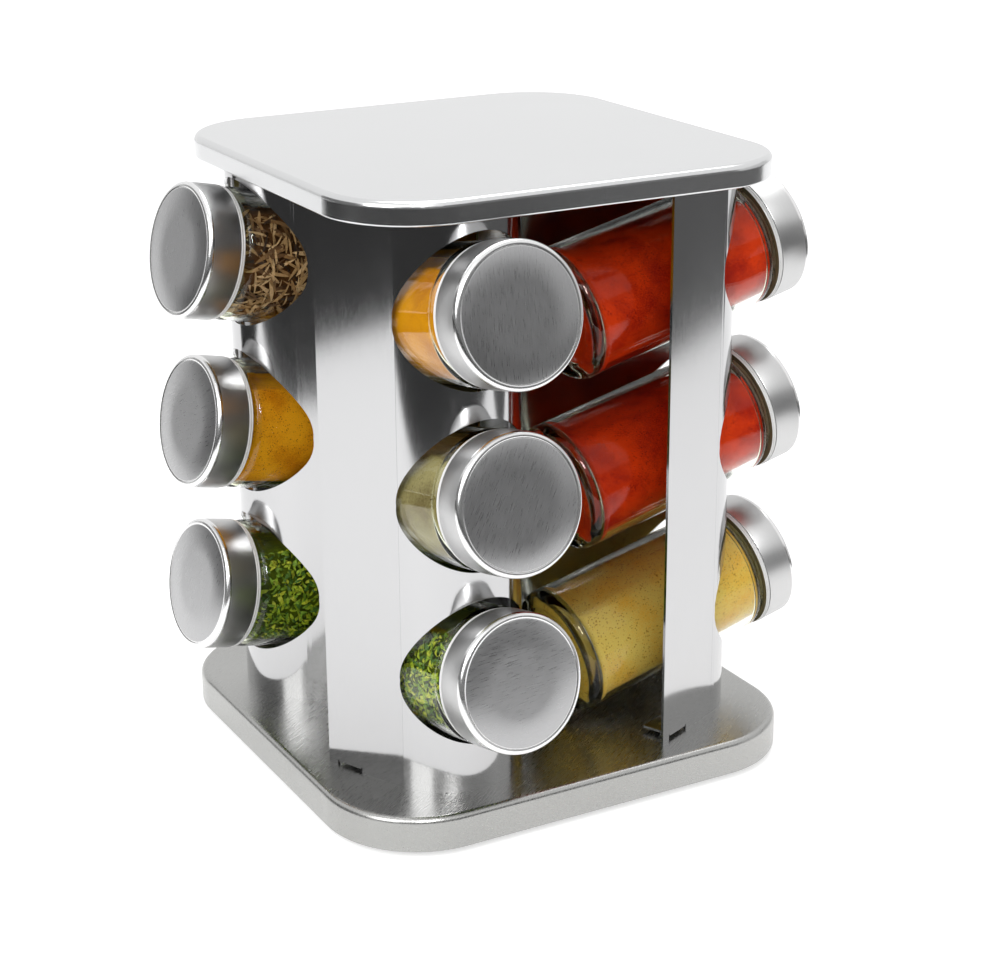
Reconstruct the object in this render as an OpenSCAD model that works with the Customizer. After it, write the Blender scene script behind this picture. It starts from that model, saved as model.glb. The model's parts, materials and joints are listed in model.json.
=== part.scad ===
/* [Plates] */
// Side of the square base plate
base_w = 190; // [170:1:220]
// Corner radius of the base plate
base_corner_r = 38; // [30:1:45]
// Height of the base plate's rim
base_rim_h = 13.4; // [12.5:0.1:20]
// Side of the square top plate
top_w = 175.5; // [168:0.5:200]
// Corner radius of the top plate
top_corner_r = 34; // [25:1:40]
// Height of the top plate's rim
top_rim_h = 8.5; // [6:0.1:16]
// Sheet thickness of both plates
plate_t = 1; // [0.8:0.1:1.5]
// Radius of the rounded upper edge of both plates
plate_edge_r = 2.4; // [1.6:0.1:4]
// Radius of the dressed lower edge of both rims
rim_hem_r = 0.8; // [0.4:0.1:0.8]

/* [Turntable] */
// Gap between the base plate's rim and the table
ground_gap = 2; // [1:0.1:5]
// Diameter of the foot plate
foot_d = 150; // [130:1:160]
// Thickness of the foot plate
foot_t = 1.4; // [1:0.1:2]
// Height of the rolled rim of the foot plate
foot_rim_h = 3.2; // [2:0.1:5]
// Thickness of a rubber foot pad
pad_h = 2.2; // [1.5:0.1:3]
// Diameter of a rubber foot pad
pad_d = 16; // [10:1:22]
// Number of rubber foot pads
pad_count = 6; // [3:1:8]
// Diameter of a bearing ball
ball_d = 6; // [5:0.1:6.4]
// Number of bearing balls
ball_count = 20; // [12:1:24]
// Radius of the ring of ball centres
ball_ring_r = 47; // [42:1:56]
// Gap between a ball and its groove
groove_gap = 0.08; // [0.05:0.01:0.1]

/* [Panels] */
// Sheet thickness of the panels
panel_t = 1; // [0.8:0.1:1.2]
// Width of sheet beside a jar hole, before the bend ends
bend_side_w = 2.1; // [1.6:0.1:4]
// Sideways distance of a jar column from the rack's middle
column_offset = 47; // [45:0.5:50]
// Distance from the rack's middle to the bend's centre, along the jars
bend_offset = 49.9; // [48:0.1:54]
// Turn of the jar columns about the upright axis
column_turn = 4; // [0:0.5:6]
// Angle by which the outer leg opens away from the jars
outer_leg_angle = 20; // [10:0.5:24]
// Length of the outer leg, up to its free edge
outer_leg_l = 33.8; // [24:0.2:36]
// Direction of the inner leg, measured from square to the jars
inner_leg_angle = 59.5; // [57:0.5:64]
// Length of the inner leg
inner_leg_l = 66; // [58:1:68]
// Width of a mounting tab
tab_w = 10.8; // [8:0.2:16]
// Length of a mounting tab
tab_l = 11; // [9:0.5:14]
// Distance from a leg's end to its mounting tab
tab_inset = 4.7; // [2:0.1:6]
// Height of a lower mounting tab above the base plate
tab_rise_h = 1.4; // [1:0.1:3]
// Diameter of a tab screw's shank
screw_d = 3; // [2.5:0.1:3.5]
// Diameter of a tab screw's head
screw_head_d = 5.6; // [4.5:0.1:6.5]
// Height of a tab screw's head
screw_head_h = 1.8; // [1.2:0.1:2.2]

/* [Jars] */
// Overall length of a capped jar
jar_l = 100; // [96:0.5:108]
// Diameter of the jar's body
jar_d = 50; // [46:0.1:50.4]
// Wall thickness of the glass
glass_t = 2.4; // [1.8:0.1:3]
// Thickness of the glass base
glass_base_t = 5.5; // [4:0.1:8]
// Radius of the jar's heel
heel_r = 4; // [3:0.1:5]
// Radius of the jar's shoulder
shoulder_r = 3.2; // [2:0.1:3.6]
// Length of the bare neck between shoulder and cap
neck_gap = 1; // [0.4:0.1:2]
// Upward lean of the jars towards their caps
jar_lean = 12; // [10:0.5:14]
// Number of jars in a column
tier_count = 3; // [3:1:3]
// Gap between the lowest jar and the base plate
first_jar_gap = 4.95; // [3:0.05:10]
// Height of the sheet between two jar holes of a column
tier_web_h = 10.4; // [6:0.1:20]
// Gap between the top plate's rim and the line in which a top jar slides out under it
top_jar_gap = 5.7; // [3:0.1:20]
// How much wider than the jar the oval hole is
hole_gap = 1.8; // [1.4:0.1:3]
// How much taller than wide the hole is
hole_extra_h = 3; // [2:0.1:4]
// How much higher than the jar the hole's middle is
hole_lift_h = 1; // [0.8:0.1:1.6]
// Gap between a jar's base and the inner leg that it leans on
seat_gap = 0.35; // [0.3:0.05:0.6]
// Empty depth above the spice at the neck end
headspace_h = 8; // [4:0.5:12]

/* [Caps] */
// How much wider than the jar the cap is
cap_extra_w = 0.6; // [0:0.1:4]
// Length of the steel shell of the cap
shell_l = 13; // [11:0.1:16]
// Sheet thickness of the cap's shell
shell_t = 0.6; // [0.4:0.1:0.8]
// Radius of the polished edge around the cap's face
cap_edge_r = 1.6; // [1:0.1:2.2]
// Length of the liner's flange outside the shell
flange_l = 2; // [1.5:0.1:3]
// Wall thickness of the liner's threaded sleeve
liner_t = 1.6; // [1.2:0.1:2]
// Gap between parts that turn or slide in each other
run_gap = 0.1; // [0.08:0.01:0.15]

/* [Hidden] */
SIDES = ["front", "right", "back", "left"];
TIERS = ["bottom", "middle", "top"];
$fn = 64;

over = 0.5;              // overrun of cuts
weld_gap = 0.05;         // gap between faces of one body that would otherwise share a curve
leg_step_t = 0.02;       // how much thinner than the bend a leg is, on each side
leg_lap_l = 2;           // how far a leg starts inside the bend
tab_lap_h = 0.4;         // height by which a tab laps the sheet above its notch

// Heights, from the table upwards
base_top = ground_gap + base_rim_h;
base_skin_z = base_top - plate_t;
foot_top = pad_h + foot_t;

// Turntable: both races fill the space between the foot plate and the base plate's skin
ball_z = (foot_top + base_skin_z) / 2;
race_gap = 2;
race_half_w = 7;
race_in_r = ball_ring_r - race_half_w;
race_out_r = ball_ring_r + race_half_w;
lip_t = 1;
lip_gap = 0.5;
flange_z = foot_top + lip_t + 2 * lip_gap;
groove_r = ball_d / 2 + groove_gap;
cage_t = 1;
cage_half_w = 4;
pocket_gap = 0.25;

// Tiers: each hole and the web above it set the next tier's height, and the top jars set the plate's height
jar_r = jar_d / 2;
cap_d = jar_d + cap_extra_w;
hole_w = jar_d + hole_gap;
first_tier_z = jar_r * cos(jar_lean) + first_jar_gap;
tier_pitch = (hole_w + hole_extra_h) / cos(jar_lean) + tier_web_h;
bend_r = hole_w / 2 + bend_side_w;

// Panel plan, in the frame of a jar column: jars point along -Y, the bend's centre is at [-column_offset, -bend_offset]
bend_start = 180 + outer_leg_angle;
bend_end = 270 + inner_leg_angle;
tab_hole_inset = tab_l * 0.55;
low_notch_h = tab_rise_h + panel_t - tab_lap_h;
top_notch_h = panel_t - tab_lap_h;

// Jars: the base leans on the neighbour's inner leg, and that sets how far the cap stands out
leg_nx = sin(inner_leg_angle);
leg_ny = -cos(inner_leg_angle);
leg_line = -column_offset * leg_nx - bend_offset * leg_ny + bend_r;
rim_reach = sqrt(pow(jar_r * sin(jar_lean) * leg_nx, 2) + pow(jar_r * leg_ny, 2));
jar_reach = (leg_line + seat_gap + rim_reach + column_offset * leg_ny) / leg_nx;
hole_r = hole_w / 2;

// Heights of the top plate
last_tier_z = base_top + first_tier_z + (tier_count - 1) * tier_pitch;
rim_z = last_tier_z + (top_w / 2 - jar_reach) * tan(jar_lean) + cap_d / 2 / cos(jar_lean) + top_jar_gap;
rack_top = rim_z + top_rim_h;
panel_top = rack_top - plate_t;
panel_h = panel_top - base_top;

// Jar profile, along the jar's own axis from its base
cap_l = shell_l + flange_l;
mouth_z = jar_l - shell_t - liner_t;
flange_z0 = jar_l - cap_l;
shoulder_z = flange_z0 - neck_gap;
liner_r = cap_d / 2 - shell_t - run_gap;
neck_r = liner_r - liner_t - 2 * run_gap;
cavity_r = jar_r - glass_t;
cavity_l = shoulder_z - glass_base_t - glass_t / 2;
fill_gap = 0.25;

// A quarter section of a plate or a turned piece, from its middle to a rounded outer edge
module edge_section(reach, h, top_r, foot_r) {
    difference() {
        square([reach, h]);
        translate([reach - top_r, h - top_r]) difference() {
            square(top_r + over);
            circle(top_r);
        }
        translate([reach - foot_r, foot_r]) difference() {
            translate([0, -foot_r - over]) square([foot_r + over, foot_r + over]);
            circle(foot_r);
        }
    }
}

// A square slab with round corners and rounded edges, standing on z = 0
module round_slab(w, corner_r, h, top_r, foot_r) {
    run = w - 2 * corner_r;
    translate([-run / 2, -run / 2, 0]) cube([run, run, h]);
    for (k = [0:3]) rotate(90 * k) {
        translate([run / 2, run / 2, 0])
            rotate_extrude(angle = 90) edge_section(corner_r, h, top_r, foot_r);
        translate([run / 2, 0, 0]) rotate([90, 0, 0])
            linear_extrude(run, center = true) edge_section(corner_r, h, top_r, foot_r);
    }
}

// A pressed plate: a rounded slab hollowed from below to the sheet's thickness
module pressed_plate(w, corner_r, h) {
    difference() {
        round_slab(w, corner_r, h, plate_edge_r, rim_hem_r);
        translate([0, 0, -over])
            round_slab(w - 2 * plate_t, corner_r - plate_t, h - plate_t + over, plate_edge_r - plate_t, rim_hem_r);
    }
}

module foot_plate() {
    color("dimgray") translate([0, 0, pad_h]) difference() {
        rotate_extrude() edge_section(foot_d / 2, foot_rim_h, foot_t / 2, foot_t / 2);
        translate([0, 0, foot_t]) cylinder(d = foot_d - 2 * foot_t, h = foot_rim_h);
    }
}

module foot_pads() {
    pad_edge_r = pad_h / 3;
    color("black") for (k = [0:pad_count - 1]) rotate(360 / pad_count * k)
        translate([foot_d / 2 - pad_d, 0, 0]) mirror([0, 0, 1]) translate([0, 0, -pad_h])
            rotate_extrude() edge_section(pad_d / 2, pad_h, pad_edge_r, weld_gap);
}

// The ring groove that a race's half of each ball runs in
module ball_groove() {
    rotate_extrude() translate([ball_ring_r, ball_z]) circle(groove_r);
}

module lower_race() {
    top_z = ball_z - race_gap / 2;
    color("silver") difference() {
        rotate_extrude() {
            translate([race_in_r, foot_top]) square([race_out_r - 3 * lip_t - race_in_r, top_z - foot_top]);
            translate([race_in_r, flange_z]) square([race_out_r - race_in_r, top_z - flange_z]);
        }
        ball_groove();
    }
}

module upper_race() {
    under_z = ball_z + race_gap / 2;
    skirt_r = race_out_r + lip_gap;
    lip_z = flange_z - lip_gap - lip_t;
    color("silver") difference() {
        rotate_extrude() {
            translate([race_in_r, under_z]) square([skirt_r + lip_t - race_in_r, base_skin_z - under_z]);
            translate([skirt_r, lip_z]) square([lip_t, base_skin_z - lip_z]);
            translate([race_out_r - 2 * lip_t, lip_z]) square([skirt_r + lip_t - race_out_r + 2 * lip_t, lip_t]);
        }
        ball_groove();
    }
}

// Balls in their flat cage, which rolls round at half the rack's speed
module ball_ring() {
    color("gainsboro") for (k = [0:ball_count - 1]) rotate(360 / ball_count * k)
        translate([ball_ring_r, 0, ball_z]) sphere(d = ball_d);
    color("goldenrod") translate([0, 0, ball_z - cage_t / 2]) difference() {
        cylinder(r = ball_ring_r + cage_half_w, h = cage_t);
        translate([0, 0, -over]) cylinder(r = ball_ring_r - cage_half_w, h = cage_t + 2 * over);
        for (k = [0:ball_count - 1]) rotate(360 / ball_count * k) translate([ball_ring_r, 0, -over])
            cylinder(d = ball_d + 2 * pocket_gap, h = cage_t + 2 * over);
    }
}

// Puts its children at the screw of each foot tab, for all four panels
module at_foot_screws() {
    for (side = [0:3]) in_column(side) {
        at_outer_leg() translate([outer_leg_l - tab_inset - tab_w / 2, tab_hole_inset]) children();
        at_inner_leg() translate([inner_leg_l - tab_inset - tab_w / 2, tab_hole_inset]) children();
    }
}

module base_cover() {
    color("lightgray") difference() {
        translate([0, 0, ground_gap]) pressed_plate(base_w, base_corner_r, base_rim_h);
        at_foot_screws() translate([0, 0, base_skin_z - over])
            cylinder(d = screw_d + 2 * run_gap, h = plate_t + 2 * over);
    }
}

// Screws come up from under the base plate into the foot tabs
module panel_screws() {
    color("silver") at_foot_screws() {
        translate([0, 0, base_skin_z - screw_head_h]) cylinder(d = screw_head_d, h = screw_head_h);
        translate([0, 0, base_skin_z - weld_gap])
            cylinder(d = screw_d, h = plate_t + tab_rise_h + panel_t + weld_gap);
    }
}

module top_cover() {
    color("whitesmoke") translate([0, 0, rim_z]) pressed_plate(top_w, top_corner_r, top_rim_h);
}

// The frame of one jar column, with its jars pointing along -Y
module in_column(side) {
    rotate(90 * side + column_turn) children();
}

// Leg frames: +X runs along the leg to its free end, +Y points to the jars' side
module at_outer_leg() {
    translate([-column_offset, -bend_offset]) rotate(bend_start) translate([bend_r, 0])
        rotate(90) mirror([1, 0]) translate([0, panel_t]) children();
}
module at_inner_leg() {
    translate([-column_offset, -bend_offset]) rotate(bend_end) translate([bend_r, 0])
        rotate(90) translate([0, panel_t]) children();
}

// Bent sheet of one panel: outer leg, bend and inner leg
module panel_sheet() {
    translate([0, 0, base_top]) {
        translate([-column_offset, -bend_offset]) rotate(bend_start)
            rotate_extrude(angle = bend_end - bend_start)
                translate([bend_r - panel_t, 0]) square([panel_t, panel_h]);
        at_outer_leg() flat_leg(outer_leg_l);
        at_inner_leg() flat_leg(inner_leg_l);
    }
}

// A leg is a hair thinner than the bend and starts inside it, so no faces meet along a tangent
module flat_leg(leg_l) {
    translate([-leg_lap_l, leg_step_t - panel_t]) cube([leg_lap_l + leg_l, panel_t - 2 * leg_step_t, panel_h]);
}

// Notch in a leg's edge, where its tab was cut free and bent
module tab_notch(leg_l, notch_h) {
    translate([leg_l - tab_inset - tab_w - panel_t / 2, -panel_t - over, -over])
        cube([tab_w + panel_t, panel_t + 2 * over, notch_h + over]);
}

// Bent tab: it runs in from the notch's upper edge. A lower tab is screwed, an upper one lies on the top plate's skin
module tab(leg_l, rise, hole) {
    translate([leg_l - tab_inset - tab_w, -panel_t, rise]) difference() {
        cube([tab_w, panel_t + tab_l, panel_t]);
        if (hole) translate([tab_w / 2, panel_t + tab_hole_inset, -over])
            cylinder(d = screw_d + 2 * run_gap, h = panel_t + 2 * over);
    }
}

// Where a jar stands: its own axis along +Z, its base centre at the origin
module at_jar(tier) {
    translate([-column_offset, -jar_reach, base_top + first_tier_z + tier * tier_pitch])
        rotate([90 - jar_lean, 0, 0]) children();
}

// The hole is two round cuts along the leaning jar's axis, one a little above the other
module panel(side) {
    color("silver") in_column(side) {
        difference() {
            panel_sheet();
            for (tier = [0:tier_count - 1], part = [-1, 1]) at_jar(tier)
                translate([0, hole_lift_h + part * hole_extra_h / 2, jar_l / 3]) cylinder(r = hole_r, h = jar_l);
            at_outer_leg() {
                translate([0, 0, base_top]) tab_notch(outer_leg_l, low_notch_h);
                translate([0, 0, panel_top]) mirror([0, 0, 1]) tab_notch(outer_leg_l, top_notch_h);
            }
            at_inner_leg() {
                translate([0, 0, base_top]) tab_notch(inner_leg_l, low_notch_h);
                translate([0, 0, panel_top]) mirror([0, 0, 1]) tab_notch(inner_leg_l, top_notch_h);
            }
        }
        at_outer_leg() {
            translate([0, 0, base_top]) tab(outer_leg_l, tab_rise_h, true);
            translate([0, 0, panel_top]) mirror([0, 0, 1]) tab(outer_leg_l, 0, false);
        }
        at_inner_leg() {
            translate([0, 0, base_top]) tab(inner_leg_l, tab_rise_h, true);
            translate([0, 0, panel_top]) mirror([0, 0, 1]) tab(inner_leg_l, 0, false);
        }
    }
}

// Outer and inner profiles of the glass
module glass_outline() {
    edge_section(jar_r, shoulder_z, shoulder_r, heel_r);
    translate([0, shoulder_z - shoulder_r]) square([neck_r, mouth_z - shoulder_z + shoulder_r]);
}
module cavity_outline(shrink) {
    translate([0, glass_base_t + shrink])
        edge_section(cavity_r - shrink, cavity_l - 2 * shrink, shoulder_r, heel_r - glass_t / 2);
}

module jar(side, tier) {
    color("palegreen", 0.4) in_column(side) at_jar(tier) rotate_extrude() difference() {
        glass_outline();
        cavity_outline(0);
        translate([0, glass_base_t + cavity_l - shoulder_r]) square([neck_r - glass_t, mouth_z]);
    }
}

// Spice has settled level, so the cap's end of the jar has some empty room at the top
module spice(side, tier) {
    fill_z = glass_base_t + cavity_l;
    color("peru") in_column(side) at_jar(tier) difference() {
        rotate_extrude() cavity_outline(fill_gap);
        translate([-jar_r, cavity_r - headspace_h, fill_z]) rotate([jar_lean - 90, 0, 0])
            translate([0, -jar_l, 0]) cube([jar_d, 2 * jar_l, jar_d]);
    }
}

module liner(side, tier) {
    color("white") in_column(side) at_jar(tier) rotate_extrude() difference() {
        union() {
            translate([0, flange_z0])
                edge_section(liner_r, jar_l - shell_t - weld_gap - flange_z0, cap_edge_r - shell_t, weld_gap);
            translate([0, flange_z0]) square([cap_d / 2, flange_l - weld_gap]);
        }
        translate([0, flange_z0 - over]) square([neck_r + run_gap, mouth_z + run_gap - flange_z0 + over]);
    }
}

module cap(side, tier) {
    color("gainsboro") in_column(side) at_jar(tier) translate([0, 0, jar_l - shell_l]) rotate_extrude() difference() {
        edge_section(cap_d / 2, shell_l, cap_edge_r, shell_t / 3);
        translate([0, -over]) edge_section(cap_d / 2 - shell_t, shell_l - shell_t + over, cap_edge_r - shell_t, weld_gap);
    }
}

foot_plate();
foot_pads();
lower_race();
ball_ring();
upper_race();
base_cover();
panel_screws();
top_cover();
for (side = [0:3]) {
    panel(side);
    for (tier = [0:tier_count - 1]) {
        place = str("_", SIDES[side], "_", TIERS[tier]);
        jar(side, tier);
        spice(side, tier);
        liner(side, tier);
        cap(side, tier);
    }
}
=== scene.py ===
import json
import math
import random
import bpy
from mathutils import Matrix, Vector


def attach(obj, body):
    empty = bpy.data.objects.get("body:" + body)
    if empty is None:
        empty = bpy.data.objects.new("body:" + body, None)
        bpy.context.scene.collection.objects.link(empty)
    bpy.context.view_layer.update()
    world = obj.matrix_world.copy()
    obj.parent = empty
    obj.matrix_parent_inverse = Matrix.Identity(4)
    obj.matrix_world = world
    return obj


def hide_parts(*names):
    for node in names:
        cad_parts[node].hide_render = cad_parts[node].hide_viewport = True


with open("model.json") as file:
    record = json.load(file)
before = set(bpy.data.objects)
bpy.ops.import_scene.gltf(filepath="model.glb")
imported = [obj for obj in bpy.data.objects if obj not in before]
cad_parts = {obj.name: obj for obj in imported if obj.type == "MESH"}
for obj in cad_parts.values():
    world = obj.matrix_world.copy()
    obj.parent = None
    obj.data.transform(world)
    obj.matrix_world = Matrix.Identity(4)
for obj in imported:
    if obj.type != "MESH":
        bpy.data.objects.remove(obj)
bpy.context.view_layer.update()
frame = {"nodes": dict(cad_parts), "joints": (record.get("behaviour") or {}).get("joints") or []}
cad = frame["nodes"]
mm = 0.001
sides = ["front", "right", "back", "left"]
tiers = ["bottom", "middle", "top"]


# Turntable foot: a pressed steel dish on rubber pads, with a ring of balls between two turned races.
# It lies under the base plate and only shows from below, so its CAD pieces stay and get their metals.

grain_stretch = (180, 2200, 2200)  # scratches per metre, along the grain and across it
scratch_depth = 0.00002


def new_material(name, color, metallic, roughness):
    """A material whose shader has one colour, metal or not, and one roughness."""
    material = bpy.data.materials.new(name)
    material.use_nodes = True
    shader = material.node_tree.nodes["Principled BSDF"]
    shader.inputs["Base Color"].default_value = (*color, 1)
    shader.inputs["Metallic"].default_value = metallic
    shader.inputs["Roughness"].default_value = roughness
    return material


def add_node(material, kind, **values):
    """A node with its settings and, by name, its inputs' values."""
    node = material.node_tree.nodes.new(kind)
    for key, value in values.items():
        if hasattr(node, key):
            setattr(node, key, value)
        else:
            node.inputs[key.replace("_", " ")].default_value = value
    return node


def join(material, a, a_out, b, b_in):
    material.node_tree.links.new(a.outputs[a_out], b.inputs[b_in])


def finish_with(nodes, material):
    """Gives the CAD pieces that stay their material."""
    for name in nodes:
        cad[name].data.materials.clear()
        cad[name].data.materials.append(material)


def make_grain_group():
    """Grain of rolled or brushed sheet: fine scratches along one way, and slow cloudy smudges."""
    group = bpy.data.node_groups.new("sheet_grain", "ShaderNodeTree")
    for name, kind in (("Vector", "Vector"), ("Roughness", "Float"), ("Scratch", "Float"),
                       ("Smudge", "Float"), ("Depth", "Float"), ("Color", "Color")):
        group.interface.new_socket(name, in_out="INPUT", socket_type="NodeSocket" + kind)
    for name, kind in (("Color", "Color"), ("Roughness", "Float"), ("Normal", "Vector")):
        group.interface.new_socket(name, in_out="OUTPUT", socket_type="NodeSocket" + kind)
    nodes, links = group.nodes, group.links
    into, out = nodes.new("NodeGroupInput"), nodes.new("NodeGroupOutput")
    stretch = nodes.new("ShaderNodeMapping")
    stretch.inputs["Scale"].default_value = grain_stretch
    fine = nodes.new("ShaderNodeTexNoise")
    fine.inputs["Scale"].default_value = 1
    fine.inputs["Detail"].default_value = 4
    fine.inputs["Roughness"].default_value = 0.65
    cloud = nodes.new("ShaderNodeTexNoise")
    cloud.inputs["Scale"].default_value = 28
    cloud.inputs["Detail"].default_value = 4
    links.new(into.outputs["Vector"], stretch.inputs["Vector"])
    links.new(stretch.outputs["Vector"], fine.inputs["Vector"])
    links.new(into.outputs["Vector"], cloud.inputs["Vector"])

    def math_node(kind, a, b):
        """One sum of two sockets or numbers."""
        node = nodes.new("ShaderNodeMath")
        node.operation = kind
        for socket, value in zip(node.inputs, (a, b)):
            if isinstance(value, (int, float)):
                socket.default_value = value
            else:
                links.new(value, socket)
        return node.outputs[0]

    scratch = math_node("MULTIPLY", math_node("SUBTRACT", fine.outputs["Fac"], 0.5), into.outputs["Scratch"])
    smudge = math_node("MULTIPLY", math_node("SUBTRACT", cloud.outputs["Fac"], 0.5), into.outputs["Smudge"])
    both = math_node("ADD", scratch, smudge)
    links.new(math_node("ADD", into.outputs["Roughness"], both), out.inputs["Roughness"])
    tint = nodes.new("ShaderNodeHueSaturation")
    links.new(into.outputs["Color"], tint.inputs["Color"])
    links.new(math_node("ADD", math_node("MULTIPLY", both, 0.8), 1.0), tint.inputs["Value"])
    links.new(tint.outputs["Color"], out.inputs["Color"])
    bump = nodes.new("ShaderNodeBump")
    bump.inputs["Distance"].default_value = scratch_depth
    links.new(fine.outputs["Fac"], bump.inputs["Height"])
    links.new(into.outputs["Depth"], bump.inputs["Strength"])
    links.new(bump.outputs["Normal"], out.inputs["Normal"])
    return group


sheet_grain = make_grain_group()


def grained_metal(name, color, roughness, scratch, smudge, depth, turn=(0, 0, 0)):
    """Brushed steel with its grain along X, or turned from there."""
    material = new_material(name, color, 1.0, roughness)
    place = add_node(material, "ShaderNodeTexCoord")
    way = add_node(material, "ShaderNodeMapping")
    way.inputs["Rotation"].default_value = turn
    grain = add_node(material, "ShaderNodeGroup")
    grain.node_tree = sheet_grain
    for key, value in (("Roughness", roughness), ("Scratch", scratch), ("Smudge", smudge),
                       ("Depth", depth), ("Color", (*color, 1))):
        grain.inputs[key].default_value = value
    shader = material.node_tree.nodes["Principled BSDF"]
    join(material, place, "Object", way, "Vector")
    join(material, way, "Vector", grain, "Vector")
    join(material, grain, "Color", shader, "Base Color")
    join(material, grain, "Roughness", shader, "Roughness")
    join(material, grain, "Normal", shader, "Normal")
    return material


turned_steel = grained_metal("turned_steel", (0.52, 0.52, 0.53), 0.32, 0.15, 0.1, 0.2)
ball_steel = grained_metal("ball_steel", (0.8, 0.8, 0.81), 0.08, 0.0, 0.05, 0.0)
foot_steel = grained_metal("foot_steel", (0.4, 0.4, 0.41), 0.45, 0.1, 0.3, 0.2)
finish_with(["lower_race", "upper_race"], turned_steel)
finish_with(["ball_ring"], ball_steel)
finish_with(["foot_plate"], foot_steel)

pad_rubber = new_material("pad_rubber", (0.02, 0.02, 0.02), 0.0, 0.75)
pad_noise = add_node(pad_rubber, "ShaderNodeTexNoise", Scale=900.0, Detail=2.0)
pad_bump = add_node(pad_rubber, "ShaderNodeBump", Strength=0.3, Distance=0.0001)
pad_place = add_node(pad_rubber, "ShaderNodeTexCoord")
join(pad_rubber, pad_place, "Object", pad_noise, "Vector")
join(pad_rubber, pad_noise, "Fac", pad_bump, "Height")
join(pad_rubber, pad_bump, "Normal", pad_rubber.node_tree.nodes["Principled BSDF"], "Normal")
finish_with(["foot_pads"], pad_rubber)


# Base plate: square sheet of stainless steel with round corners, pressed to a shallow pan, satin brushed.
# The eight screws that hold the panels' foot tabs come up through it from below.

plate_steel = grained_metal("plate_steel", (0.41, 0.41, 0.40), 0.29, 0.35, 0.12, 0.2,
                            (0, 0, math.radians(-35)))
finish_with(["base_cover"], plate_steel)
finish_with(["panel_screws"], ball_steel)


# Panels: four sheets of stainless steel, each bent to a hook in plan and cut with three oval holes.
# They are semi-bright, with a fine upright grain.

panel_steel = grained_metal("panel_steel", (0.51, 0.51, 0.515), 0.11, 0.08, 0.05, 0.1,
                            (0, math.radians(90), 0))
finish_with(["panel_" + side for side in sides], panel_steel)


# Top plate: the same pressing as the base, a little smaller, with a paler satin face.
# Its grain lies a little askew and is fainter than the base plate's.

top_steel = grained_metal("top_steel", (0.68, 0.685, 0.69), 0.2, 0.08, 0.05, 0.08, (0, 0, 0.3))
finish_with(["top_cover"], top_steel)


# Jars: clear, faintly green pressed glass with a thick base, a rounded heel and shoulder and a bare neck.
# Each is turned from one profile, and the copies lie along their own slanting axes.

column_turn = 4  # degrees that each column of jars is turned against its side of the plates
cap_centre_from_base = 92.5 * mm
smooth_below = math.radians(40)
glass_ior = 1.4
heel_top, shoulder_foot = 4.2 * mm, 81.4 * mm


def deselect_all():
    if bpy.context.object and bpy.context.object.mode != "OBJECT":
        bpy.ops.object.mode_set(mode="OBJECT")
    bpy.ops.object.select_all(action="DESELECT")


def turn_profile(name, profile, steps=96):
    """A turned piece: the profile is drawn point by point as (radius, height) in mm and spun round Z."""
    deselect_all()
    bpy.ops.mesh.primitive_plane_add(size=mm, location=(0, 0, 0))
    piece = bpy.context.object
    piece.name = name
    bpy.ops.object.mode_set(mode="EDIT")
    bpy.ops.mesh.merge(type="CENTER")
    here = Vector((0, 0, 0))
    for k, (r, z) in enumerate(profile):
        there = Vector((r * mm, 0, z * mm))
        if k == 0:
            bpy.ops.transform.translate(value=there)
        else:
            bpy.ops.mesh.extrude_vertices_move(TRANSFORM_OT_translate={"value": there - here})
        here = there
    bpy.ops.mesh.select_all(action="SELECT")
    bpy.ops.mesh.spin(steps=steps, angle=math.tau, center=(0, 0, 0), axis=(0, 0, 1))
    bpy.ops.mesh.select_all(action="SELECT")
    bpy.ops.mesh.remove_doubles(threshold=0.00001)
    bpy.ops.mesh.normals_make_consistent(inside=False)
    bpy.ops.object.mode_set(mode="OBJECT")
    bpy.ops.object.shade_smooth_by_angle(angle=smooth_below)
    return piece


def arc(cr, cz, radius, start, end, count):
    """Points of a round in a profile, from one angle to another in degrees."""
    turn = [math.radians(start + (end - start) * k / count) for k in range(count + 1)]
    return [(cr + radius * math.cos(t), cz + radius * math.sin(t)) for t in turn]


def jar_places():
    """Name and place of each jar, whose own base centre is at the origin and whose axis is Z."""
    joints = {joint["name"]: joint for joint in frame["joints"]}
    for number, side in enumerate(sides):
        across = math.radians(90 * number + column_turn)
        x = Vector((math.cos(across), math.sin(across), 0))
        for tier in tiers:
            joint = joints[side + "_" + tier + "_cap_turn"]
            z = Vector(joint["axis"]).normalized()
            y = z.cross(x)
            base = Vector(joint["pos_m"]) - z * cap_centre_from_base
            place = Matrix((x, y, z)).transposed().to_4x4()
            place.translation = base
            yield side + "_" + tier, place


def copy_to(piece, name, place, body, node):
    """A copy of a turned piece, with its own mesh, laid where the CAD's piece lies."""
    deselect_all()
    piece.select_set(True)
    bpy.context.view_layer.objects.active = piece
    bpy.ops.object.duplicate(linked=False)
    copy = bpy.context.object
    copy.name = name
    copy.matrix_world = place
    bpy.ops.object.transform_apply(location=True, rotation=True, scale=True)
    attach(copy, body)
    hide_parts(node)
    return copy


def drop(piece):
    bpy.data.objects.remove(piece, do_unlink=True)


def clear_glass(name, color, glint=1.0):
    """Smooth glass, with as much glint as asked for where it is seen straight on."""
    material = new_material(name, color, 0.0, 0.0)
    shader = material.node_tree.nodes["Principled BSDF"]
    shader.inputs["Transmission Weight"].default_value = 1
    shader.inputs["IOR"].default_value = glass_ior
    shader.inputs["Specular Tint"].default_value = (glint, glint, glint, 1)
    return material


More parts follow.
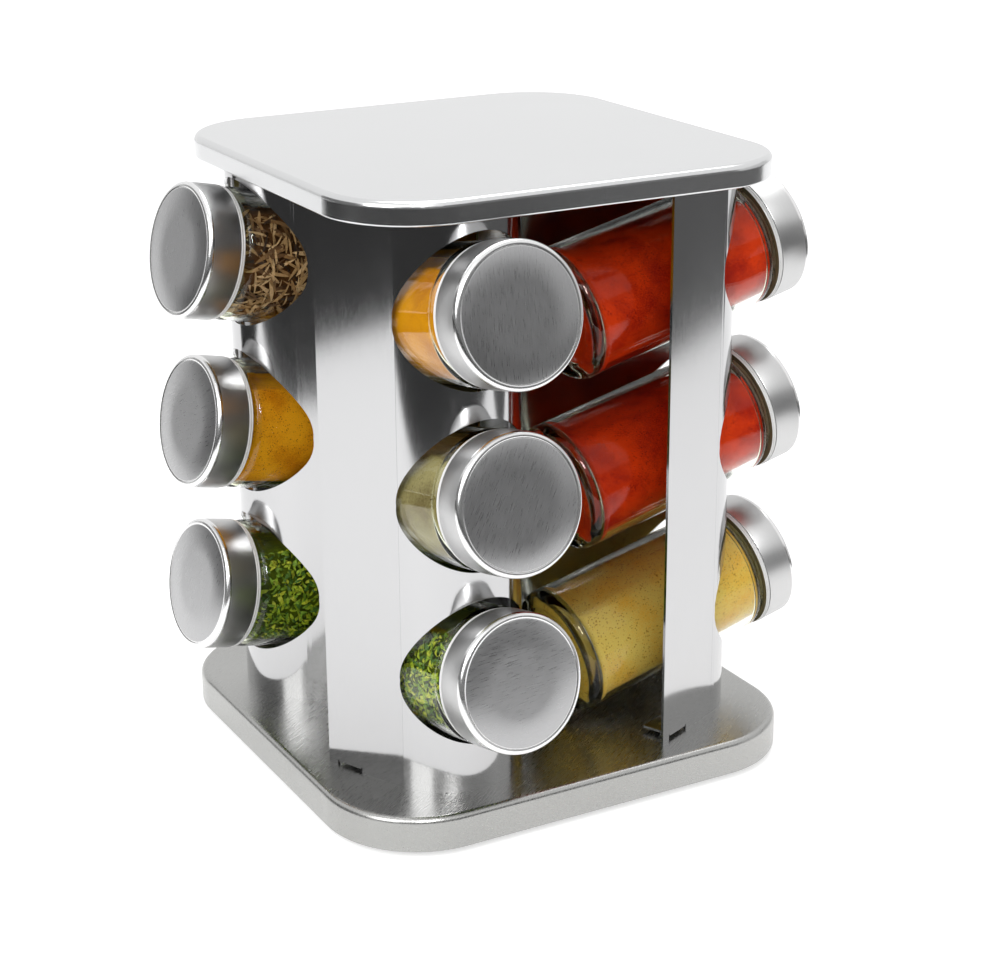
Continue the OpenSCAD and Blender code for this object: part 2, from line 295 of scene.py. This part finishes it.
# The rounded heel, the shoulder and the neck are thicker, so they look greener
jar_glass = clear_glass("jar_glass", (0.95, 0.975, 0.92), 0.25)
edge_glass = clear_glass("edge_glass", (0.86, 0.91, 0.62))
jar_profile = ([(0, 0.9), (17.5, 0.9), (18.6, 0.3), (19.4, 0)] + arc(21, 4, 4, -90, 0, 8)
               + arc(25 - 3.2, 84 - 3.2, 3.2, 0, 90, 6)
               + [(22.7, 84.2), (22.7, 97.3), (22.2, 97.8), (20.8, 97.8), (20.3, 97.3), (20.3, 84)]
               + arc(20.4, 79.6, 2.2, 60, 0, 4) + arc(22.6 - 2.8, 5.5 + 2.8, 2.8, 0, -90, 5) + [(0, 5.9)])
jar_shape = turn_profile("jar_shape", jar_profile)
jar_shape.data.materials.append(jar_glass)
jar_shape.data.materials.append(edge_glass)
for face in jar_shape.data.polygons:
    if not heel_top < face.center.z < shoulder_foot:
        face.material_index = 1
for key, place in jar_places():
    glass = copy_to(jar_shape, "glass_" + key, place, key + "_jar", "jar_" + key)
    glass.visible_shadow = False
    glass.visible_diffuse = False
drop(jar_shape)


# Spices: twelve fillings, each turned to its jar's inside and cut off where it has settled.
# The herb and bark jars hold a slimmer core of the same stuff, for the loose pieces that follow; it is painted
# much darker than them, as painted shade in the gaps between the pieces.

inside_radius, core_radius = 22.3, 20.6
settled_foot, settled_run = 6, 76
speck_share, speck_lift = 0.9, -0.15
usual_level = (22, 16)
levels = {"right_top": (21.5, 17.5), "right_middle": (20.5, 17), "right_bottom": (17.5, 20.5)}


def powder(name, light, dark, speck, grain, spots=0.0):
    """Ground spice: fine grain in two tones, with darker specks where the jar's filling has them."""
    material = new_material(name, light, 0.0, 0.9)
    shader = material.node_tree.nodes["Principled BSDF"]
    shader.inputs["Specular IOR Level"].default_value = 0.1
    place = add_node(material, "ShaderNodeTexCoord")
    fine = add_node(material, "ShaderNodeTexNoise", Scale=grain, Detail=4.0, Roughness=0.8)
    tone = add_node(material, "ShaderNodeTexNoise", Scale=70.0, Detail=3.0)
    ramp = add_node(material, "ShaderNodeValToRGB")
    ramp.color_ramp.elements[0].position, ramp.color_ramp.elements[0].color = 0.38, (*dark, 1)
    ramp.color_ramp.elements[1].position, ramp.color_ramp.elements[1].color = 0.56, (*light, 1)
    mix = add_node(material, "ShaderNodeMix", data_type="RGBA")
    dots = add_node(material, "ShaderNodeTexVoronoi", Scale=1100.0)
    patches = add_node(material, "ShaderNodeTexNoise", Scale=300.0, Detail=2.0)
    limit = add_node(material, "ShaderNodeMath", operation="LESS_THAN")
    reach = add_node(material, "ShaderNodeMath", operation="MULTIPLY_ADD")
    reach.inputs[1].default_value = speck_share * spots
    reach.inputs[2].default_value = speck_lift * spots
    join(material, patches, "Fac", reach, 0)
    join(material, reach, 0, limit, 1)
    add = add_node(material, "ShaderNodeMath", operation="ADD")
    half = add_node(material, "ShaderNodeMath", operation="MULTIPLY")
    half.inputs[1].default_value = 0.5
    for texture in (fine, tone, dots, patches):
        join(material, place, "Object", texture, "Vector")
    join(material, fine, "Fac", add, 0)
    join(material, tone, "Fac", add, 1)
    join(material, add, 0, half, 0)
    join(material, half, 0, ramp, "Fac")
    join(material, dots, "Distance", limit, 0)
    join(material, limit, 0, mix, 0)
    join(material, ramp, "Color", mix, 6)
    mix.inputs[7].default_value = (*speck, 1)
    join(material, mix, 2, shader, "Base Color")
    bump = add_node(material, "ShaderNodeBump", Strength=0.5, Distance=0.0004)
    join(material, fine, "Fac", bump, "Height")
    join(material, bump, "Normal", shader, "Normal")
    return material


yellow_powder = powder("yellow_powder", (0.78, 0.33, 0.0), (0.54, 0.18, 0.0), (0.40, 0.12, 0.0),
                       2000.0, 0.4)
orange_powder = powder("orange_powder", (1.0, 0.44, 0.01), (0.66, 0.21, 0.0), (0.36, 0.09, 0.0),
                       1700.0, 0.65)
beige_powder = powder("beige_powder", (0.38, 0.33, 0.14), (0.16, 0.12, 0.045), (0.08, 0.05, 0.015),
                      1500.0, 0.5)
red_powder = powder("red_powder", (0.90, 0.05, 0.0), (0.40, 0.006, 0.0), (0.26, 0.005, 0.0),
                    2200.0, 0.6)
mustard_powder = powder("mustard_powder", (1.0, 0.74, 0.17), (1.0, 0.56, 0.07), (0.60, 0.30, 0.04),
                        2000.0, 0.75)
# Painted shade: the herb and bark cores are far darker than their loose pieces, for the shade in the gaps
# between them.
herb_core_painted_shade = powder("herb_core_painted_shade", (0.10, 0.14, 0.005), (0.02, 0.04, 0.003), (0.02, 0.03, 0.0), 400.0)
bark_core_painted_shade = powder("bark_core_painted_shade", (0.14, 0.06, 0.02), (0.03, 0.012, 0.004), (0.02, 0.01, 0.0), 400.0)


def chip_material(name, tones, gloss):
    """Dried plant matter in several tones, one for each chip, with a fine streak along it."""
    material = new_material(name, tones[0], 0.0, gloss)
    shader = material.node_tree.nodes["Principled BSDF"]
    island = add_node(material, "ShaderNodeNewGeometry")
    ramp = add_node(material, "ShaderNodeValToRGB")
    ramp.color_ramp.interpolation = "CONSTANT"
    for k, tone in enumerate(tones):
        stop = ramp.color_ramp.elements[k] if k < 2 else ramp.color_ramp.elements.new(k / len(tones))
        stop.position = k / len(tones)
        stop.color = (*tone, 1)
    place = add_node(material, "ShaderNodeTexCoord")
    streak = add_node(material, "ShaderNodeTexNoise", Scale=1400.0, Detail=3.0)
    shade = add_node(material, "ShaderNodeHueSaturation")
    lift = add_node(material, "ShaderNodeMath", operation="ADD")
    lift.inputs[1].default_value = 0.5
    join(material, place, "Object", streak, "Vector")
    join(material, streak, "Fac", lift, 0)
    join(material, lift, 0, shade, "Value")
    join(material, island, "Random Per Island", ramp, "Fac")
    join(material, ramp, "Color", shade, "Color")
    join(material, shade, "Color", shader, "Base Color")
    return material


herb_tones = [(0.36, 0.46, 0.005), (0.16, 0.29, 0.005), (0.50, 0.54, 0.02), (0.06, 0.15, 0.005),
              (0.27, 0.40, 0.005)]
bark_tones = [(0.50, 0.30, 0.13), (0.15, 0.07, 0.025), (0.68, 0.45, 0.23), (0.04, 0.017, 0.006),
              (0.30, 0.16, 0.06)]
herb_flakes = chip_material("herb_flakes", herb_tones, 0.7)
bark_shreds = chip_material("bark_shreds", bark_tones, 0.75)
fillings = {
    "left_top": bark_core_painted_shade, "left_middle": orange_powder, "left_bottom": herb_core_painted_shade,
    "front_top": yellow_powder, "front_middle": beige_powder, "front_bottom": herb_core_painted_shade,
    "right_top": red_powder, "right_middle": red_powder, "right_bottom": mustard_powder,
    "back_top": beige_powder, "back_middle": bark_core_painted_shade, "back_bottom": yellow_powder,
}


def settle(name, key, place, material, radius):
    """A filling, cut off where it has settled: so far above the axis at the base and at the shoulder, in mm."""
    low, high = levels.get(key, usual_level)
    body = turn_profile(name, [(0, 6.2)] + arc(radius - 2.6, 8.8, 2.6, -90, 0, 5)
                        + arc(radius - 2.4, 80.2, 2.4, 0, 70, 4) + [(19.4, 82.4), (0, 82.4)], 72)
    deselect_all()
    body.select_set(True)
    bpy.context.view_layer.objects.active = body
    bpy.ops.object.mode_set(mode="EDIT")
    bpy.ops.mesh.select_all(action="SELECT")
    slope = Vector((0, settled_run * mm, -(high - low) * mm)).normalized()
    bpy.ops.mesh.bisect(plane_co=(0, low * mm, settled_foot * mm), plane_no=slope, use_fill=True,
                        clear_outer=True)
    bpy.ops.object.mode_set(mode="OBJECT")
    bpy.ops.object.shade_smooth_by_angle(angle=smooth_below)
    body.matrix_world = place
    bpy.ops.object.transform_apply(location=True, rotation=True, scale=True)
    body.data.materials.append(material)
    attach(body, key + "_jar")
    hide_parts("spice_" + key)
    return body


for key, place in jar_places():
    loose = fillings[key] in (herb_core_painted_shade, bark_core_painted_shade)
    filling = settle("filling_" + key, key, place, fillings[key], core_radius if loose else inside_radius)


# Loose herbs and bark: cut flakes and split shreds pressed against the glass, round a core of the same stuff
# that is painted darker, as painted shade.
# One flake and one shred are shaped, and each filling scatters its own turned, sized copies of them.

loose_reach, loose_foot, loose_head, loose_run = 22.1, 7.5, 82, 80
glass_inside, filling_foot, filling_head = 22.35 * mm, 6.3 * mm, 82.5 * mm
shoulder_start, shoulder_draw = 79, 0.95


def bent_strip(name, length, width, cuts, lift):
    """A thin strip cut across and arched, as a dried leaf or a sliver of bark curls."""
    deselect_all()
    bpy.ops.mesh.primitive_plane_add(size=1, location=(0, 0, 0))
    strip = bpy.context.object
    strip.name = name
    bpy.ops.object.mode_set(mode="EDIT")
    bpy.ops.transform.resize(value=(length * mm, width * mm, 1), center_override=(0, 0, 0))
    for k in range(1, cuts):
        bpy.ops.mesh.select_all(action="SELECT")
        bpy.ops.mesh.bisect(plane_co=((k / cuts - 0.5) * length * mm, 0, 0), plane_no=(1, 0, 0))
    bpy.ops.object.mode_set(mode="OBJECT")
    for vertex in strip.data.vertices:
        along = vertex.co.x / (length * mm) * 2
        vertex.co.y *= 1 - 0.75 * along ** 2
        vertex.co.z += lift * mm * (1 - along ** 2) + 0.25 * abs(vertex.co.y)
    return strip


def scatter(name, chip, key, place, material, count, seed, sizes, spread):
    """Many copies of a chip, each turned its own way, in one mesh under the glass of one jar."""
    chance = random.Random(seed)
    low, high = levels.get(key, usual_level)
    points = [vertex.co.copy() for vertex in chip.data.vertices]
    rings = [tuple(face.vertices) for face in chip.data.polygons]
    upward = Vector((0, 0, 1))
    corners, faces = [], []
    while len(faces) < count * len(rings):
        z = chance.uniform(loose_foot, loose_head)
        turn = chance.uniform(0, math.tau)
        r = chance.uniform(core_radius, loose_reach)
        if z > shoulder_start:
            r *= shoulder_draw
        if r * math.sin(turn) > low + (high - low) * z / loose_run:
            continue
        out = Vector((math.cos(turn), math.sin(turn), 0))
        along = Vector((-math.sin(turn), math.cos(turn), 0))
        heading = chance.uniform(0, math.tau)
        x = along * math.cos(heading) + upward * math.sin(heading) + out * chance.uniform(-spread, spread)
        x.normalize()
        up = out + along * chance.uniform(-spread, spread) + upward * chance.uniform(-spread, spread)
        y = up.cross(x).normalized()
        up = x.cross(y)
        size = chance.uniform(*sizes)
        slim = chance.uniform(0.6, 1.2)
        start = len(corners)
        for p in points:
            spot = (out * r + Vector((0, 0, z))) * mm + (x * p.x + y * p.y * slim + up * p.z) * size
            reach = math.hypot(spot.x, spot.y)
            if reach > glass_inside:
                spot.x *= glass_inside / reach
                spot.y *= glass_inside / reach
            spot.z = min(max(spot.z, filling_foot), filling_head)
            corners.append(place @ spot)
        faces += [tuple(start + k for k in ring) for ring in rings]
    mesh = bpy.data.meshes.new(name)
    mesh.from_pydata(corners, [], faces)
    piece = bpy.data.objects.new(name, mesh)
    bpy.context.scene.collection.objects.link(piece)
    mesh.materials.append(material)
    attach(piece, key + "_jar")


flake = bent_strip("flake", 3.0, 1.4, 3, 0.5)
shred = bent_strip("shred", 8.5, 1.4, 6, 0.7)
for number, (key, place) in enumerate(jar_places()):
    if fillings[key] is herb_core_painted_shade:
        scatter("flakes_" + key, flake, key, place, herb_flakes, 4200, number, (0.5, 1.2), 0.6)
    if fillings[key] is bark_core_painted_shade:
        scatter("shreds_" + key, shred, key, place, bark_shreds, 2300, number, (0.45, 1.15), 0.3)
drop(flake)
drop(shred)


# Liners: moulded white plastic sleeves with a flange that shows as a bright ring behind each cap.
# The flange's underside, in the shade of the jar's shoulder, is painted a darker tone: painted shade, since the
# glass casts no shadow.

painted_shade_top = 85.2 * mm


def moulded_plastic(name, low, high):
    """Plain moulded plastic, a little cloudy."""
    material = new_material(name, high, 0.0, 0.35)
    clouds = add_node(material, "ShaderNodeTexNoise", Scale=180.0, Detail=3.0)
    tint = add_node(material, "ShaderNodeValToRGB")
    tint.color_ramp.elements[0].color = (*low, 1)
    tint.color_ramp.elements[1].color = (*high, 1)
    place = add_node(material, "ShaderNodeTexCoord")
    join(material, place, "Object", clouds, "Vector")
    join(material, clouds, "Fac", tint, "Fac")
    join(material, tint, "Color", material.node_tree.nodes["Principled BSDF"], "Base Color")
    return material


liner_plastic = moulded_plastic("liner_plastic", (0.88, 0.88, 0.87), (0.95, 0.95, 0.94))
# Painted shade: a dark tone for the flange's underside, which the jar's shoulder would shade.
liner_painted_shade = moulded_plastic("liner_painted_shade", (0.07, 0.065, 0.03), (0.12, 0.11, 0.06))
liner_profile = [(22.9, 85.05), (24.3, 85.0), (24.9, 85.12), (25.05, 85.45), (24.9, 85.78), (24.72, 85.9),
                 (24.98, 86.0), (25.2, 86.25), (25.2, 86.6), (24.95, 86.85), (24.6, 86.9), (24.6, 98.2),
                 (24.3, 98.9), (23.6, 99.25), (0, 99.25), (0, 98.0), (22.9, 98.0)]
liner_shape = turn_profile("liner_shape", liner_profile + liner_profile[:1])
liner_shape.data.materials.append(liner_plastic)
liner_shape.data.materials.append(liner_painted_shade)
# Faces below the flange's top get the painted shade.
for face in liner_shape.data.polygons:
    if face.center.z < painted_shade_top:
        face.material_index = 1
for key, place in jar_places():
    copy_to(liner_shape, "sleeve_" + key, place, key + "_cap", "liner_" + key)
drop(liner_shape)


# Caps: spun stainless steel shells with a straight-brushed face inside a polished ring, and a satin side.
# Each keeps its own map, so that the face's grain runs straight and the side's runs round.

cap_radius, ring_inside = 25.3, 22.8
face_foot, ring_foot = 99.7, 98.1
usual_grain_turn = 70


def mapped_metal(name, color, roughness, scratch, smudge, depth):
    """Brushed steel whose grain follows the piece's own map."""
    material = grained_metal(name, color, roughness, scratch, smudge, depth)
    own_map = add_node(material, "ShaderNodeUVMap", uv_map="grain")
    way = next(node for node in material.node_tree.nodes if node.type == "MAPPING")
    join(material, own_map, "UV", way, "Vector")
    return material


cap_face = mapped_metal("cap_face", (0.435, 0.435, 0.44), 0.31, 0.35, 0.02, 0.13)
cap_ring = mapped_metal("cap_ring", (0.80, 0.80, 0.80), 0.2, 0.05, 0.05, 0.05)
cap_side = mapped_metal("cap_side", (0.56, 0.56, 0.56), 0.36, 0.12, 0.08, 0.2)
cap_profile = ([(24.7, 87.05), (24.95, 87.0), (25.2, 87.06), (25.3, 87.3), (25.3, 97.9)]
               + arc(23.7, 98.4, 1.6, 0, 90, 8)
               + [(23.4, 100), (23.2, 99.9), (23.0, 99.86), (22.8, 99.9), (22.65, 99.96), (12, 99.97),
                  (0, 99.97), (0, 99.4), (23.7, 99.4), (24.4, 99.1), (24.7, 98.4), (24.7, 87.05)])
cap_shape = turn_profile("cap_shape", cap_profile)
for material in (cap_side, cap_ring, cap_face):
    cap_shape.data.materials.append(material)
for face in cap_shape.data.polygons:
    radius, height = math.hypot(face.center.x, face.center.y) / mm, face.center.z / mm
    if height > face_foot and radius < ring_inside:
        face.material_index = 2
    elif height > ring_foot and radius > ring_inside:
        face.material_index = 1


def map_grain(piece, turn):
    """Lays the grain: flat across the face, turned its own way, and rolled out round the side."""
    layer = piece.data.uv_layers.new(name="grain")
    c, s = math.cos(turn), math.sin(turn)
    for face in piece.data.polygons:
        start = math.atan2(face.center.y, face.center.x)
        for corner in face.loop_indices:
            p = piece.data.vertices[piece.data.loops[corner].vertex_index].co
            if face.material_index == 2:
                layer.data[corner].uv = (p.x * c + p.y * s, p.y * c - p.x * s)
            else:
                angle = math.atan2(p.y, p.x)
                angle += math.tau * round((start - angle) / math.tau)
                layer.data[corner].uv = (angle * cap_radius * mm, p.z + math.hypot(p.x, p.y))


grain_turns = {"front_top": 86, "front_middle": 58, "front_bottom": 4,
               "left_top": 84, "left_middle": 30, "left_bottom": 62}
for key, place in jar_places():
    cap = copy_to(cap_shape, "shell_" + key, Matrix(), key + "_cap", "cap_" + key)
    map_grain(cap, math.radians(grain_turns.get(key, usual_grain_turn)))
    cap.data.transform(place)
drop(cap_shape)


# Studio: a pale floor and backdrop, two soft lamps, and the camera where the photographer stood.
# Dark flags and a window stand out of the picture, for the steel and the glass to reflect.

lamp_aim = Vector((0, 0, 0.12))
floor_lift, room_light, backdrop_white = 0.6, 0.55, 1.0


def studio_surface(name, size, location):
    """A flat card that is part of the studio and not of the rack."""
    deselect_all()
    bpy.ops.mesh.primitive_plane_add(size=size, location=location)
    piece = bpy.context.object
    piece.name = name
    return piece


floor = studio_surface("floor", 6, (0, 0, 0))
floor_white = new_material("floor_white", (0.82, 0.82, 0.82), 0.0, 0.6)
floor_shader = floor_white.node_tree.nodes["Principled BSDF"]
floor_shader.inputs["Specular IOR Level"].default_value = 0.1
floor.data.materials.append(floor_white)


def seen_rays(tree):
    """1 for the rays that show a surface: straight from the camera, off metal or through glass."""
    rays = tree.nodes.new("ShaderNodeLightPath")
    first = tree.nodes.new("ShaderNodeMath")
    second = tree.nodes.new("ShaderNodeMath")
    first.operation = second.operation = "MAXIMUM"
    tree.links.new(rays.outputs["Is Camera Ray"], first.inputs[0])
    tree.links.new(rays.outputs["Is Glossy Ray"], first.inputs[1])
    tree.links.new(first.outputs[0], second.inputs[0])
    tree.links.new(rays.outputs["Is Transmission Ray"], second.inputs[1])
    return second.outputs[0]


floor_shader.inputs["Emission Color"].default_value = (1, 1, 1, 1)
lift = add_node(floor_white, "ShaderNodeMath", operation="MULTIPLY")
lift.inputs[1].default_value = floor_lift
floor_white.node_tree.links.new(seen_rays(floor_white.node_tree), lift.inputs[0])
join(floor_white, lift, 0, floor_shader, "Emission Strength")


def flag(name, location, size, turn, level):
    """A card of one brightness that only reflections and glass show."""
    card = studio_surface(name, 1, location)
    card.scale = (*size, 1)
    card.rotation_euler = turn
    shade = new_material(name, (0, 0, 0), 0.0, 1.0)
    shader = shade.node_tree.nodes["Principled BSDF"]
    shader.inputs["Specular IOR Level"].default_value = 0
    shader.inputs["Emission Color"].default_value = (1, 1, 1, 1)
    shader.inputs["Emission Strength"].default_value = level
    card.data.materials.append(shade)
    card.visible_camera = False
    card.visible_shadow = False
    card.visible_diffuse = False


flag("front_floor_flag", (0, -1.5, 0.002), (5, 2.0), (0, 0, 0), 0.06)
flag("left_floor_flag", (-2.13, 0.55, 0.0021), (3.0, 2.0), (0, 0, math.radians(26)), 0.05)
flag("near_floor_flag", (-1.08, -0.98, 0.0023), (1.8, 2.0), (0, 0, math.radians(-45)), 0.05)
flag("right_floor_flag", (1.63, -0.967, 0.0022), (2.2, 2.0), (0, 0, math.radians(12)), 0.14)
flag("front_wall_flag", (-0.2, -2.4, 0.6), (5.2, 1.2), (math.radians(90), 0, 0), 0.2)
flag("left_wall_flag", (-2.7, 1.0, 0.9), (7.4, 1.8), (math.radians(90), 0, math.radians(90)), 0.2)
flag("right_wall_flag", (2.7, -0.9, 0.6), (3.0, 1.2), (math.radians(90), 0, math.radians(90)), 0.7)


def soft_lamp(name, location, size, power):
    """A soft box that points at the rack's middle."""
    light = bpy.data.lights.new(name, "AREA")
    light.shape = "RECTANGLE"
    light.size, light.size_y = size
    light.energy = power
    lamp = bpy.data.objects.new(name, light)
    bpy.context.scene.collection.objects.link(lamp)
    lamp.location = location
    lamp.rotation_euler = (lamp_aim - Vector(location)).to_track_quat("-Z", "Y").to_euler()


# The window behind the photographer, for the small lights on the jars' heels and shoulders
for side_step in (-0.17, 0.17):
    flag("window_flag", (-0.75 + 0.94 * side_step, -2.0 - 0.34 * side_step, 2.0), (0.2, 0.7),
         (math.radians(47), 0, math.radians(-20)), 40)
soft_lamp("left_lamp", (-1.1, -0.5, 0.9), (0.8, 0.9), 9)
soft_lamp("top_lamp", (0.3, 0.2, 1.5), (1.0, 1.0), 8)

world = bpy.data.worlds.new("studio")
bpy.context.scene.world = world
world.use_nodes = True
air = world.node_tree
sky = air.nodes["Background"]
level = air.nodes.new("ShaderNodeMix")
level.inputs[2].default_value = room_light
level.inputs[3].default_value = backdrop_white
air.links.new(seen_rays(air), level.inputs[0])
air.links.new(level.outputs[0], sky.inputs["Strength"])
sky.inputs["Color"].default_value = (1, 1, 1, 1)

camera_data = bpy.data.cameras.new("camera")
camera = bpy.data.objects.new("camera", camera_data)
bpy.context.scene.collection.objects.link(camera)
# Fitted to the photograph: angles in radians, and steps from the rack's middle in halves of the base plate
azimuth, elevation, roll = -0.504895, 0.342588, -0.005558
rack_middle, half_base = Vector((0, 0, 0.12075)), 0.095
aside, below, away = 0.085906, 0.203646, 8.972853
back = Vector((math.sin(azimuth) * math.cos(elevation), -math.cos(azimuth) * math.cos(elevation),
               math.sin(elevation)))
right = (-back).cross(Vector((0, 0, 1))).normalized()
up = right.cross(-back)
right, up = (right * math.cos(roll) + up * math.sin(roll),
             up * math.cos(roll) - right * math.sin(roll))
pose = Matrix((right, up, back)).transposed().to_4x4()
pose.translation = rack_middle + (right * aside - up * below + back * away) * half_base
camera.matrix_world = pose
camera_data.lens = 79.166
camera_data.sensor_width = 36
bpy.context.scene.camera = camera
bpy.context.scene.view_settings.view_transform = "Standard"
